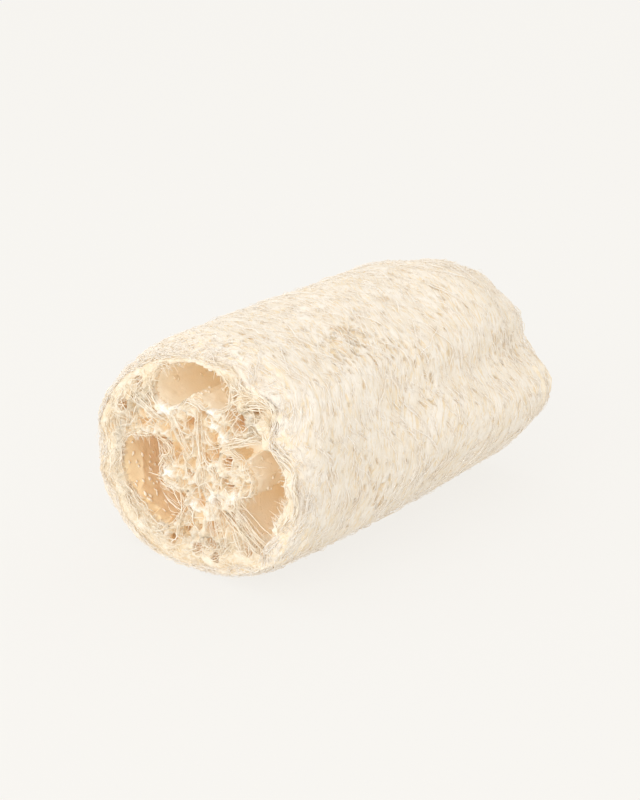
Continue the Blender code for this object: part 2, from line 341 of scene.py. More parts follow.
def cut_fields(side, found, level):
    """How far each grid place of a cut is from the channels, negative inside them, and from the rim."""
    angle = np.arctan2(over_z - core_height, over_x) % math.tau
    row = (angle / math.tau * AROUND).astype(int) % AROUND
    inside = side_radius[row, 0 if side < 0 else ALONG - 1] - np.hypot(over_x, over_z - core_height)
    deep = ~np.isfinite(found) | (np.abs(found - level) > HOLE_DEPTH)
    holes = deep & (inside > 0)
    middle = holes & (distance_to(~holes) > CHANNEL_HALF)
    channels = holes & (distance_to(middle) < CHANNEL_HALF + 1 * MM) | middle
    for across, up, half_width, half_height, _ in TORN_MOUTHS if side < 0 else ():
        off = np.hypot((over_x / MM - across) / half_width, (over_z / MM - up) / half_height)
        channels |= off < 0.9
    gap = np.where(channels, -distance_to(~channels), distance_to(channels))
    pits = (holes & ~channels & (inside > PITS_INSIDE_RIM)).astype(float)
    for axis in (0, 1):
        gap, pits = blurred(gap, EVEN_GAP, axis, False), blurred(pits, EVEN_PITS, axis, False)
    return {"gap": gap, "inside": inside, "down": np.gradient(gap, GRID), "pits": pits}


cut_found = {side: measured_cut(side) for side in (-1, 1)}
cut_level = {side: cut_surface(cut_found[side], side) for side in (-1, 1)}
fields = {side: cut_fields(side, cut_found[side], cut_level[side]) for side in (-1, 1)}


def blended(table, i, following, k, a, b):
    """Table values a share a of the way from row i to the one that follows, and b past column k."""
    return (
        table[i, k] * (1 - a) * (1 - b) + table[following, k] * a * (1 - b)
        + table[i, k + 1] * (1 - a) * b + table[following, k + 1] * a * b
    )


def looked_up(table, x, z):
    """Grid values at these places, blended between the grid's points."""
    u = np.clip((x - grid_x[0]) / GRID, 0, len(grid_x) - 1.001)
    v = np.clip((z - grid_z[0]) / GRID, 0, len(grid_z) - 1.001)
    i, k = u.astype(int), v.astype(int)
    return blended(table, i, i + 1, k, u - i, v - k)


def patches(sizes, shape, seed):
    """Soft random patches over a grid, each about this many grid steps long and wide, from -1 to 1."""
    field = np.random.default_rng(seed).normal(size=shape)
    for axis, size in enumerate(sizes):
        field = blurred(field, size / 2.5, axis, True)
    return np.clip((field - field.mean()) / field.std() / 1.6, -1, 1)


def choose(piece):
    """Select this piece alone and make it the active one."""
    bpy.ops.object.select_all(action="DESELECT")
    piece.select_set(True)
    bpy.context.view_layer.objects.active = piece


def weld(closeness, turn_outward=False):
    """Merge the vertices of the active piece that lie this close and, if asked, turn its faces outward."""
    bpy.ops.object.mode_set(mode="EDIT")
    bpy.ops.mesh.select_all(action="SELECT")
    bpy.ops.mesh.remove_doubles(threshold=closeness)
    if turn_outward:
        bpy.ops.mesh.normals_make_consistent(inside=False)
    bpy.ops.object.mode_set(mode="OBJECT")


def mat_copy(name, grain, first, last):
    """An even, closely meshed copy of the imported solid's stretch from first to last along Y."""
    piece = bpy.data.objects.new(name, solid.data.copy())
    piece.data.materials.clear()
    bpy.context.collection.objects.link(piece)
    choose(piece)
    weld(0.001 * MM)
    bpy.ops.mesh.primitive_cube_add(size=1, location=(0, (first + last) / 2, core_height))
    stretch = bpy.context.object
    stretch.scale = (STRETCH_WIDTH, last - first, STRETCH_WIDTH)
    choose(piece)
    cut = piece.modifiers.new("cut_to_length", "BOOLEAN")
    cut.operation = "INTERSECT"
    cut.object = stretch
    cut.solver = "EXACT"
    bpy.ops.object.modifier_apply(modifier=cut.name)
    bpy.data.objects.remove(stretch)
    remesh = piece.modifiers.new("fine_mat", "REMESH")
    remesh.mode = "VOXEL"
    remesh.voxel_size = grain
    bpy.ops.object.modifier_apply(modifier=remesh.name)
    soften = piece.modifiers.new("soften", "SMOOTH")
    soften.factor = 0.5
    soften.iterations = 3
    bpy.ops.object.modifier_apply(modifier=soften.name)
    bpy.ops.object.shade_smooth()
    return piece


def places_of(piece):
    """The places of a piece's vertices, one to a row."""
    place = np.empty(len(piece.data.vertices) * 3)
    piece.data.vertices.foreach_get("co", place)
    return place.reshape(-1, 3)


def drawn_in(place, depth):
    """These places, with those near the side moved in from it by up to this depth."""
    nearness = np.clip(1.4 - below_side(place) / DRAWN_ZONE, 0, 1)
    middle = np.array([0.0, 0.0, core_height])
    out = (place - middle) * (1, 0, 1)
    out /= np.maximum(np.linalg.norm(out, axis=1, keepdims=True), 1e-6)
    return place - out * (nearness * depth)[:, None]


def lumped(piece, size, height):
    """Raise soft lumps of this size over the piece."""
    texture = bpy.data.textures.new(piece.name + "_lumps", "CLOUDS")
    texture.noise_scale = size
    texture.noise_depth = 2
    lumps = piece.modifiers.new("lumps", "DISPLACE")
    lumps.texture = texture
    lumps.texture_coords = "LOCAL"
    lumps.mid_level = 0.5
    lumps.strength = height
    bpy.context.view_layer.objects.active = piece
    bpy.ops.object.modifier_apply(modifier=lumps.name)


def mottled(name, colours, patch, roughness, bump, tints=(), combed=None):
    """A dull material that goes from colour to colour in patches of this size, with a fine rough grain.

    A tint is the name of values kept on the mesh, and the colour it turns to where they are 1. A combed
    material has fine strokes as well: their spacing, how deep they are and the painted shade between them.
    """
    material, output = new_material(name)
    at = add(material, "ShaderNodeTexCoord", {})
    noise = add(material, "ShaderNodeTexNoise", {
        "Scale": 1 / patch, "Detail": 4.0, "Roughness": 0.65,
    }, {"Vector": at.outputs["Object"]})
    ramp = add(material, "ShaderNodeValToRGB", {}, {"Fac": noise.outputs["Fac"]})
    elements = ramp.color_ramp.elements
    for position, colour in colours[1:-1]:
        elements.new(position).color = linear(colour)
    elements[0].position, elements[0].color = colours[0][0], linear(colours[0][1])
    elements[-1].position, elements[-1].color = colours[-1][0], linear(colours[-1][1])
    links = {"Base Color": ramp.outputs["Color"]}
    for values_name, tint_colour in tints:
        amount = add(material, "ShaderNodeAttribute", {"attribute_name": values_name})
        tinted = add(material, "ShaderNodeMixRGB", {"Color2": linear(tint_colour)}, {
            "Fac": amount.outputs["Fac"], "Color1": links["Base Color"],
        })
        links["Base Color"] = tinted.outputs["Color"]
    if combed:
        spacing, depth, stroke_shade_colour = combed
        way = add(material, "ShaderNodeAttribute", {"attribute_name": "combed"})
        strokes = add(material, "ShaderNodeTexNoise", {
            "Scale": 1 / spacing, "Detail": 2.0, "Roughness": 0.55, "Distortion": 1.0,
        }, {"Vector": way.outputs["Vector"]})
        # Painted shade: the grooves between the strokes take the darker colour
        between = add(material, "ShaderNodeMapRange", {
            "From Min": 0.50, "From Max": 0.33, "To Min": 0.0, "To Max": 0.7,
        }, {"Value": strokes.outputs["Fac"]})
        stroke_shaded_colour = add(material, "ShaderNodeMixRGB", {"Color2": linear(stroke_shade_colour)}, {
            "Fac": between.outputs["Result"], "Color1": links["Base Color"],
        })
        links["Base Color"] = stroke_shaded_colour.outputs["Color"]
        bumps = add(material, "ShaderNodeBump", {"Strength": 1.0, "Distance": depth}, {
            "Height": strokes.outputs["Fac"],
        })
        links["Normal"] = bumps.outputs["Normal"]
    if bump:
        grain = add(material, "ShaderNodeTexNoise", {
            "Scale": 1 / GRAIN_SPACING, "Detail": 2.0, "Distortion": 1.0,
        }, {"Vector": at.outputs["Object"]})
        over = {"Normal": links["Normal"]} if combed else {}
        roughened = add(material, "ShaderNodeBump", {"Strength": bump, "Distance": GRAIN_HEIGHT}, {
            "Height": grain.outputs["Fac"], **over,
        })
        links["Normal"] = roughened.outputs["Normal"]
    shader = add(material, "ShaderNodeBsdfPrincipled", {
        "Roughness": roughness, "Specular IOR Level": 0.1,
    }, links)
    material.node_tree.links.new(shader.outputs["BSDF"], output.inputs["Surface"])
    return material


# Dried pith is matt and slightly furry, and nearly white in its membranes; where it lies deep it is painted
# tan, painted shade for the warm light that goes round inside the fibre.
# The skin that lines the channels is smoother and paler, and is painted tan near the show cut, painted shade
# for the light that goes round inside them.
pith_material = mottled(
    "dried_loofah_pith", PITH_COLOURS, PITH_PATCH, 0.95, 0.4,
    (("hollow", PITH_SHADE_COLOUR), ("membrane", MEMBRANE_COLOUR)),
    (COMB_SPACING, PITH_COMB_DEPTH, STROKE_SHADE_COLOUR),
)
# Each lining turns to its painted shade near the show cut
lining_materials = [
    mottled(f"smooth_channel_lining_{number}", colours, LINING_PATCH, 0.9, 0.25, (("near_mouth", mouth_shade_colour),))
    for number, (_, colours, mouth_shade_colour) in enumerate(LININGS, start=1)
]


def keep_values(piece, name, values):
    """Keep a value from 0 to 1 with each vertex of a piece."""
    layer = piece.data.attributes.new(name, "FLOAT", "POINT")
    layer.data.foreach_set("value", np.clip(values, 0, 1).astype(np.float32))


def keep_combing(piece, way):
    """Keep with each vertex a place in the field of strokes that its material is combed with."""
    layer = piece.data.attributes.new("combed", "FLOAT_VECTOR", "POINT")
    layer.data.foreach_set("vector", way.astype(np.float32).ravel())


def on_solid(place, chosen):
    """These places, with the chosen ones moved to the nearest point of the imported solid."""
    for number in np.flatnonzero(chosen):
        nearest = solid_tree.find_nearest(Vector(place[number]), 2 * MM)[0]
        if nearest is not None:
            place[number] = nearest
    return place


def risen(values, limits):
    """How far each value has gone from the first limit to the second, from 0 to 1."""
    return np.clip((values - limits[0]) / (limits[1] - limits[0]), 0, 1)


def finish_mat(piece):
    """Give a piece of the mat its materials and its place on the model."""
    place = places_of(piece)
    inward = place[:, 1] - looked_up(cut_level[-1], place[:, 0], place[:, 2])
    keep_values(piece, "near_mouth", 1 - inward / MOUTH_REACH)
    # Near the rim the strokes run round it, and deeper in they have no direction
    angle, below = np.arctan2(place[:, 2] - core_height, place[:, 0]), below_side(place)
    ring = COMB_RADIUS / COMB_STRETCH
    around = np.stack([ring * np.cos(angle), below + place[:, 1], ring * np.sin(angle)], -1)
    over_core = risen(below, COMB_FADE)[:, None]
    keep_combing(piece, around * (1 - over_core) + place * over_core)
    for material in (pith_material, *lining_materials):
        piece.data.materials.append(material)
    centre = np.empty(len(piece.data.polygons) * 3)
    piece.data.polygons.foreach_get("center", centre)
    centre = centre.reshape(-1, 3)
    lining = below_side(centre) > LINING_BELOW_SIDE
    for side in (-1, 1):
        behind = side * (looked_up(cut_level[side], centre[:, 0], centre[:, 2]) - centre[:, 1])
        lining &= behind > LINING_BEHIND_CUT
    lining &= looked_up(fields[-1]["gap"], centre[:, 0], centre[:, 2]) < LINING_PAST_WALL
    bearing = np.degrees(np.arctan2(centre[:, 2] - core_height, centre[:, 0]))
    turns = [np.abs((bearing - linings[0] + 180) % 360 - 180) for linings in LININGS]
    number = np.where(lining, np.argmin(turns, axis=0) + 1, 0)
    piece.data.polygons.foreach_set("material_index", number.astype(np.int32))
    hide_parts("loofah")
    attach(piece, "root")


# The pith reaches a little way into the finer slices at the cuts, and keeps just behind their walls there
SLICE_OVERLAP = 4 * MM
SLICE_CLEARANCE = 0.6 * MM
WALL_SKIN = 3 * MM
pith_first, pith_last = cad_low.y + CUT_SLICE - SLICE_OVERLAP, cad_high.y - CUT_SLICE + SLICE_OVERLAP
pith = mat_copy("matted_pith", PITH_GRAIN, pith_first, pith_last)
pith_place = places_of(pith)
from_end = np.minimum(pith_place[:, 1] - pith_first, pith_last - pith_place[:, 1])
pith_place = on_solid(pith_place, (below_side(pith_place) > DEEP_WALL) & (from_end > 1 * MM))
pith_place = drawn_in(pith_place, PITH_BELOW_SKIN)
for side in (-1, 1):
    x, z = pith_place[:, 0].copy(), pith_place[:, 2].copy()
    from_end = pith_place[:, 1] - pith_first if side < 0 else pith_last - pith_place[:, 1]
    covered = np.clip(1 - from_end / (0.6 * SLICE_OVERLAP), 0, 1)
    covered *= np.clip(1.5 - np.abs(looked_up(fields[side]["gap"], x, z)) / WALL_SKIN, 0, 1)
    slope_x, slope_z = (looked_up(table, x, z) for table in fields[side]["down"])
    pith_place[:, 0] += covered * SLICE_CLEARANCE * slope_x
    pith_place[:, 2] += covered * SLICE_CLEARANCE * slope_z
pith.data.vertices.foreach_set("co", pith_place.ravel())
pith.data.update()
lumped(pith, PITH_LUMP, PITH_LUMP_HEIGHT)
# Painted shade: the pith turns tan the deeper it lies below the side
keep_values(pith, "hollow", risen(below_side(places_of(pith)), PITH_SHADE_DEPTHS))
finish_mat(pith)

# The torn cuts: where the knife went through, the mat is torn open in cells between thin walls, some of
# them only felted over. Each cut is a slice of the mat with a finer mesh.
CUT_GRAIN = {-1: 0.54 * MM, 1: 0.9 * MM}
CUT_DRAWN_IN = 0.9 * MM
CELL_SPACING = 3.0 * MM
CELL_DEPTH = (0.6 * MM, 2.8 * MM)
CELL_WALL = 0.26 * MM
CELL_SLOPE = 0.5 * MM
FINE_CELL_SPACING = 1.7 * MM
FINE_CELL_DEPTH = 0.9 * MM
CELL_SWAY = 0.7 * MM
TORN_BACK = (0.3 * MM, 1.4 * MM)
TORN_PATCH = 7 * MM
TORN_ZONE = 10 * MM
PAST_CUT = 5 * MM
PIT_DEPTH = 2.6 * MM
PIT_FILL = 0.85
RIM_FELT = 9 * MM
RIM_CELL_SHARE = 0.16
# How deep behind the cut and how far below the side the torn cells turn tan, as painted shade
CELL_SHADE_SUNK = (1.3 * MM, 2.8 * MM)
CELL_SHADE_BELOW_SIDE = (1.5 * MM, 3.5 * MM)
CUT_LUMP = 1.3 * MM
CUT_LUMP_HEIGHT = 0.22 * MM

# Hollows torn deeper than the rest into the show cut: across, up, half width and depth, in millimetres.
HOLLOWS = (
    (-11.5, 35.5, 2.9, 6.0), (11.5, 53.0, 2.4, 7.0), (-4.5, 46.5, 2.0, 5.0), (4.0, 38.0, 2.4, 5.0),
    (8.0, 31.0, 2.0, 4.5), (10.0, 19.5, 2.0, 5.5), (2.5, 10.5, 1.8, 6.0), (-6.5, 10.0, 1.7, 5.0),
    (-2.5, 25.0, 1.7, 4.5), (14.0, 42.0, 2.6, 6.0), (-2.0, 14.0, 1.5, 4.0), (-12.5, 54.0, 1.9, 3.5),
    (18.5, 43.5, 2.8, 7.0), (0.5, 50.5, 1.8, 3.5), (-9.0, 42.0, 1.7, 3.5), (27.0, 46.0, 1.6, 3.5),
)
# Pale membranes that stay whole where several walls of the show cut meet: across, up and half width.
MEMBRANES = (
    (-13.0, 48.0, 2.8), (-10.0, 50.5, 2.2), (5.5, 53.0, 2.4), (5.0, 47.0, 1.8), (4.5, 24.0, 1.8),
    (12.5, 27.0, 2.2), (-14.0, 36.5, 1.6), (-19.0, 38.5, 1.8), (-13.5, 28.5, 1.8), (-8.5, 17.5, 2.2),
    (-4.0, 20.0, 1.6), (8.5, 44.0, 1.6),
)
# Each is a star with so many points, and closes the cells that it spans over nearly all their depth
STAR_POINTS = 5
STAR_SWING = 0.4
MEMBRANE_FILL = 0.92
MEMBRANE_SUNK = 4 * MM


def scattered(side, spacing, given, draw):
    """Places over a cut at least about this far apart, beginning with the given ones."""
    gap, inside = fields[side]["gap"], fields[side]["inside"]
    sites = [(x * MM, z * MM) for x, z in given]
    tries = int(6000 * (3.2 * MM / spacing) ** 2)
    across = draw.uniform(cad_low.x, cad_high.x, tries)
    up = draw.uniform(0, cad_high.z, tries)
    rooms = spacing * draw.uniform(0.75, 1.3, tries)
    usable = (looked_up(inside, across, up) > 0.5 * MM) & (looked_up(gap, across, up) > -1.2 * spacing)
    for x, z, room in zip(across[usable], up[usable], rooms[usable]):
        taken = np.array(sites) if sites else np.full((1, 2), 9.0)
        if np.hypot(taken[:, 0] - x, taken[:, 1] - z).min() > room:
            sites.append((x, z))
    return np.array(sites)


def cell_opening(x, z, sites):
    """How far open each place is, from 0 on a wall to 1 in a cell, and which cell it belongs to."""
    first, second = np.full(len(x), 1.0), np.full(len(x), 1.0)
    owner = np.zeros(len(x), int)
    for number, (site_x, site_z) in enumerate(sites):
        away = np.hypot(x - site_x, z - site_z)
        closer = away < first
        second = np.where(closer, first, np.minimum(second, away))
        first = np.where(closer, away, first)
        owner[closer] = number
    share = np.clip(((second - first) / 2 - CELL_WALL) / CELL_SLOPE, 0, 1)
    return share * share * (3 - 2 * share), owner


def torn_cut(side, name, draw):
    """The slice of the mat at one cut, torn open in cells."""
    last = cad_low.y + CUT_SLICE if side < 0 else cad_high.y + PAST_CUT
    first = cad_low.y - PAST_CUT if side < 0 else cad_high.y - CUT_SLICE
    piece = mat_copy(name, CUT_GRAIN[side], first, last)
    place = places_of(piece)
    back = last if side < 0 else first
    in_wall = (below_side(place) > DEEP_WALL) & (np.abs(place[:, 1] - back) > 0.3 * MM)
    in_wall &= np.abs(place[:, 1] - back) < CUT_SLICE - TORN_ZONE
    place = drawn_in(on_solid(place, in_wall), CUT_DRAWN_IN)
    x, z = place[:, 0], place[:, 2]
    level = looked_up(cut_level[side], x, z)
    inward = side * (level - place[:, 1])
    sway = [looked_up(patches((4, 4), over_x.shape, seed), x, z) * CELL_SWAY for seed in (3, 4)]
    hollows = HOLLOWS if side < 0 else ()
    sites = scattered(side, CELL_SPACING, [hollow[:2] for hollow in hollows], draw)
    depth_of = CELL_DEPTH[0] + (CELL_DEPTH[1] - CELL_DEPTH[0]) * draw.beta(0.9, 1.3, len(sites))
    depth_of[:len(hollows)] = [hollow[3] * MM for hollow in hollows]
    opening, owner = cell_opening(x + sway[0], z + sway[1], sites)
    depth = opening * depth_of[owner]
    fine_sites = scattered(side, FINE_CELL_SPACING, [], draw)
    fine_opening = cell_opening(x + sway[1], z + sway[0], fine_sites)[0]
    depth += fine_opening * FINE_CELL_DEPTH
    for across, up, half_width, deepest in hollows:
        off = np.hypot(x + sway[0] - across * MM, z + sway[1] - up * MM) / (half_width * MM)
        depth = np.maximum(depth, deepest * MM * np.exp(-off ** 6))
    membrane = np.zeros(len(x))
    for across, up, half_width in MEMBRANES if side < 0 else ():
        off_x, off_z = x + sway[0] - across * MM, z + sway[1] - up * MM
        star = 1 + STAR_SWING * np.cos(STAR_POINTS * np.arctan2(off_z, off_x) + across)
        membrane = np.maximum(membrane, np.exp(-(np.hypot(off_x, off_z) / (half_width * MM * star)) ** 4))
    depth *= 1 - MEMBRANE_FILL * membrane
    from_rim = looked_up(fields[side]["inside"], x, z) / RIM_FELT
    depth *= np.clip(from_rim, RIM_CELL_SHARE, 1)
    for across, up, half_width, half_height, deepest in TORN_MOUTHS if side < 0 else ():
        off = np.hypot((x / MM - across) / half_width, (z / MM - up) / half_height)
        depth = np.maximum(depth, deepest * MM * np.exp(-off ** 8))
    torn = 0.5 + 0.5 * looked_up(patches((TORN_PATCH / GRID,) * 2, over_x.shape, 31 + side), x, z)
    torn *= np.clip(from_rim, 0, 1)
    depth += TORN_BACK[0] + (TORN_BACK[1] - TORN_BACK[0]) * torn
    place[:, 1] -= side * depth * np.clip(1 - inward / TORN_ZONE, 0, 1.1)
    # Pits of the solid that go deeper than a torn cell are filled up with felt
    inward = side * (level - place[:, 1])
    pit = (inward > PIT_DEPTH) & (inward < TORN_ZONE) & (looked_up(fields[side]["pits"], x, z) > 0.15)
    place[pit, 1] += side * PIT_FILL * (inward[pit] - PIT_DEPTH)
    piece.data.vertices.foreach_set("co", place.ravel())
    piece.data.update()
    lumped(piece, PITH_LUMP, PITH_LUMP_HEIGHT)
    lumped(piece, CUT_LUMP, CUT_LUMP_HEIGHT)
    place = places_of(piece)
    sunk = side * (looked_up(cut_level[side], place[:, 0], place[:, 2]) - place[:, 1])
    # Painted shade: the torn cells turn tan the deeper they sink behind the cut and below the side
    keep_values(piece, "hollow", risen(sunk, CELL_SHADE_SUNK) * risen(below_side(place), CELL_SHADE_BELOW_SIDE))
    keep_values(piece, "membrane", membrane * (sunk < MEMBRANE_SUNK))
    finish_mat(piece)
    return piece


cut_mats = {side: torn_cut(side, name, rng) for side, name in ((-1, "show_cut_mat"), (1, "far_cut_mat"))}

# The felted side: on the outside the mat is packed so close that it looks like felt, with streaks that
# run round the gourd like hoops. Here and there its fibres part round a lens-shaped pore.
SKIN_AROUND, SKIN_ALONG = 440, 212
SKIN_BELOW_NET = 0.42 * MM
SKIN_STREAK = 0.2 * MM
SKIN_LUMP = 0.16 * MM
SKIN_RIM = 2.5 * MM
SKIN_RIM_DIP = 1.6 * MM
LOWEST_SKIN = 0.25 * MM
SKIN_PATCH = 7 * MM
COMB_LEAN = 9 * MM
COMB_LEAN_FROM = 2.6
COMB_WANDER = 2.2 * MM
# The pores are painted tan as painted shade: the colour, the most of it, and the depth at which it is full
PORE_SHADE_COLOUR = "E9C48C"
PORE_SHADE_MOST = 0.6
PORE_SHADE_DEPTH = 1.1 * MM
SKIN_COLOURS = ((0.38, "EBE0CF"), (0.60, "F0E8DC"))
PROFILE = 320
PORE_SPACING = 3.0 * MM
PORE_TRIES = 12000
PORES_ALONG = (0.03, 0.97)
PORE_HALF_LENGTH = (0.6 * MM, 2.2 * MM)
PORE_HALF_WIDTH = (0.24 * MM, 0.6 * MM)
PORE_DEPTH = (0.7 * MM, 2.0 * MM)

profile_y, profile_r = np.zeros((AROUND, PROFILE)), np.zeros((AROUND, PROFILE))
profile_length = np.zeros(AROUND)
for i in range(AROUND):
    y_line = np.linspace(side_first[i], side_last[i], ALONG)
    steps = np.hypot(np.diff(y_line), np.diff(side_radius[i]))
    run = np.r_[0, np.cumsum(steps)]
    profile_length[i] = run[-1]
    even = np.linspace(0, run[-1], PROFILE)
    profile_y[i], profile_r[i] = np.interp(even, run, y_line), np.interp(even, run, side_radius[i])
slope_y, slope_r = np.gradient(profile_y, axis=1), np.gradient(profile_r, axis=1)
slope = np.hypot(slope_y, slope_r)
lift_r, lift_y = slope_y / slope, -slope_r / slope
mean_radius, mean_length = float(profile_r.mean()), float(profile_length.mean())


def on_side(angle, along, lift, lowest):
    """Points on the side at these angles, shares of the way from cut to cut, and heights off it."""
    u = (angle / math.tau * AROUND) % AROUND
    v = np.clip(along, 0, 1) * (PROFILE - 1.001)
    i, k = u.astype(int) % AROUND, v.astype(int)
    where = i, (i + 1) % AROUND, k, u - np.floor(u), v - k
    radius = blended(profile_r, *where) + lift * blended(lift_r, *where)
    y = blended(profile_y, *where) + lift * blended(lift_y, *where)
    height = np.maximum(core_height + radius * np.sin(angle), lowest)
    return np.stack([radius * np.cos(angle), y, height], -1)


def waves(count, longest, seed):
    """A smooth random field over angle and share, about from -1 to 1, which closes round the body."""
    draw = np.random.default_rng(seed)
    turns = draw.integers(-longest, longest + 1, count)
    climbs = draw.uniform(-longest, longest, count) * mean_length / (math.tau * mean_radius)
    phases = draw.uniform(0, math.tau, count)
    sizes = draw.uniform(0.5, 1.0, count) * 1.6 / math.sqrt(count)

    def field(angle, along):
        """The field at these angles and shares of the way along."""
        total = np.zeros_like(angle)
        for turn, climb, phase, size in zip(turns, climbs, phases, sizes):
            total += size * np.sin(turn * angle + math.tau * climb * along + phase)
        return total

    return field


pore_crowding = waves(12, 6, 9)
comb_sway = waves(12, 5, 17)


def turned(angle):
    """This angle, brought to between half a turn back and half a turn on."""
    return (angle + math.pi) % math.tau - math.pi


def side_pores(draw):
    """Pores over the side: angle, share along, half length, half width and depth of each."""
    placed = np.empty((0, 5))
    for _ in range(PORE_TRIES):
        angle, along = draw.uniform(0, math.tau), draw.uniform(*PORES_ALONG)
        crowd = float(pore_crowding(np.array([angle]), np.array([along]))[0])
        spacing = PORE_SPACING * (1.25 - 0.55 * crowd)
        round_by = turned(placed[:, 0] - angle) * mean_radius
        gap = np.hypot(0.6 * round_by, (placed[:, 1] - along) * mean_length)
        if len(placed) and gap.min() < spacing:
            continue
        size = draw.beta(1.0, 3.2) * (1 + 0.4 * crowd)
        ranges = (PORE_HALF_LENGTH, PORE_HALF_WIDTH, PORE_DEPTH)
        placed = np.vstack([placed, (angle, along, *[low + (high - low) * size for low, high in ranges])])
    return placed


pores = side_pores(rng)


def pore_depth(angle, along):
    """How deep the felt sinks at these places because of its pores."""
    depth = np.zeros_like(angle)
    for pore_angle, pore_along, half_length, half_width, deepest in pores:
        near = np.abs(along - pore_along) * mean_length < 3 * half_width
        near &= np.abs(turned(angle - pore_angle)) * mean_radius < half_length
        round_by = turned(angle[near] - pore_angle) * mean_radius
        across = (along[near] - pore_along) * mean_length
        off = (round_by / half_length) ** 2 + (across / (1.25 * half_width)) ** 2
        depth[near] = np.maximum(depth[near], deepest * np.clip(1 - off, 0, 1))
    return depth


bpy.ops.mesh.primitive_grid_add(x_subdivisions=SKIN_AROUND, y_subdivisions=SKIN_ALONG, size=2)
skin = bpy.context.object
skin.name = "felted_side"
grid_place = places_of(skin)
skin_angle = (1 - grid_place[:, 0]) * math.pi
skin_along = (grid_place[:, 1] + 1) / 2
closing = np.isclose(grid_place[:, 0], -1)
skin_angle[closing] = 0.0
column = np.rint((skin_angle / math.tau) * SKIN_AROUND).astype(int) % SKIN_AROUND
row = np.rint(skin_along * SKIN_ALONG).astype(int)
streaks = patches((7, 1.6), (SKIN_AROUND, SKIN_ALONG + 1), 51)[column, row]
streaks += 0.6 * patches((3.5, 1.3), (SKIN_AROUND, SKIN_ALONG + 1), 52)[column, row]
soft_lumps = patches((9, 7), (SKIN_AROUND, SKIN_ALONG + 1), 53)[column, row]
skin_lift = SKIN_STREAK * streaks + SKIN_LUMP * soft_lumps - SKIN_BELOW_NET
skin_pores = pore_depth(skin_angle, skin_along)
skin_lift -= skin_pores
skin_end = np.minimum(skin_along, 1 - skin_along) * mean_length
skin_lift -= SKIN_RIM_DIP * np.clip(1 - skin_end / SKIN_RIM, 0, 1)
skin_place = on_side(skin_angle, skin_along, skin_lift, LOWEST_SKIN)
skin.data.vertices.foreach_set("co", skin_place.ravel())
# Painted shade: the felt turns tan down in its pores
keep_values(skin, "hollow", PORE_SHADE_MOST * np.clip(skin_pores / PORE_SHADE_DEPTH, 0, 1))
# The way the fibres are combed: a place on a narrow ring, so that the strokes are long round the gourd.
# The strokes climb and fall a little as they go round.
comb_y = skin_place[:, 1] + COMB_LEAN * np.sin(skin_angle + COMB_LEAN_FROM)
comb_y += COMB_WANDER * comb_sway(skin_angle, skin_along)
ring = mean_radius / COMB_STRETCH
keep_combing(skin, np.stack([ring * np.cos(skin_angle), comb_y, ring * np.sin(skin_angle)], -1))
weld(0.001 * MM)
bpy.ops.object.shade_smooth()
core = Vector((0, 0, core_height))
if sum(face.normal.dot((face.center - core) * Vector((1, 0, 1))) for face in skin.data.polygons) < 0:
    skin.data.flip_normals()

# Felt of dried fibre, cream and quite dull, with the strokes of single fibres all over it, painted shade
# between the strokes and in its pores
skin.data.materials.append(mottled(
    "felted_loofah_skin", SKIN_COLOURS, SKIN_PATCH, 0.95, 0.3, (("hollow", PORE_SHADE_COLOUR),),
    (COMB_SPACING, COMB_DEPTH, STROKE_SHADE_COLOUR),
))
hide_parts("loofah")
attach(skin, "root")

# The net on the outside: single fibres, each a bundle of dried veins about as thick as strong thread.
# They run round the gourd half sunk in the felt, and part round its pores.
FIBRE_RADIUS = 0.18 * MM
SIDE_STEP = 2.0 * MM
LOWEST_FIBRE = FIBRE_RADIUS * 1.3
FIBRE_WAVE = 0.16 * MM
FIBRE_DIVE = 0.7 * MM
# Each kind of fibre on the side: how many, how long, how much they slant, how high they lie off the side,
# and how thick as a share of the usual radius
HOOPS = (3000, (3 * MM, 10 * MM), 0.3, (-0.5 * MM, 0.08 * MM), (0.45, 1.0))
LOOSE_STRANDS = (420, (6 * MM, 20 * MM), 0.35, (-0.2 * MM, 0.35 * MM), (0.4, 1.0))
STRAY_STRANDS = (420, (3 * MM, 9 * MM), 0.6, (0.1 * MM, 0.9 * MM), (0.3, 0.65))
SHOW_RIM_FELT = (1500, (3 * MM, 8 * MM), 0.8, (-0.45 * MM, 0.25 * MM), (0.4, 0.9))
FAR_RIM_FELT = (300, (3 * MM, 9 * MM), 0.7, (-0.4 * MM, 0.2 * MM), (0.4, 0.95))
# Shares of the way from the show cut to the far cut over which they are laid
HOOP_STRETCHES = ((0.0, 0.34), (0.33, 0.67), (0.66, 1.0))
SHOW_RIM, FAR_RIM = (0.0, 0.06), (0.93, 1.0)
hoop_sway = waves(14, 7, 5)


def parted(angle, along):
    """The shares along, with fibres pushed apart wherever they would cross a pore."""
    along = along.copy()
    for pore_angle, pore_along, half_length, half_width, _ in pores:
        round_by = turned(angle - pore_angle) * mean_radius
        across = (along - pore_along) * mean_length
        reach = 3.2 * half_width
        touched = (np.abs(round_by) < half_length) & (np.abs(across) < reach)
        if touched.any():
            open_here = (1 - (round_by[touched] / half_length) ** 2) ** 2 * half_width
            off = across[touched]
            moved = np.sign(off) * (open_here + np.abs(off) * (1 - open_here / reach))
            along[touched] += (moved - off) / mean_length
    return along


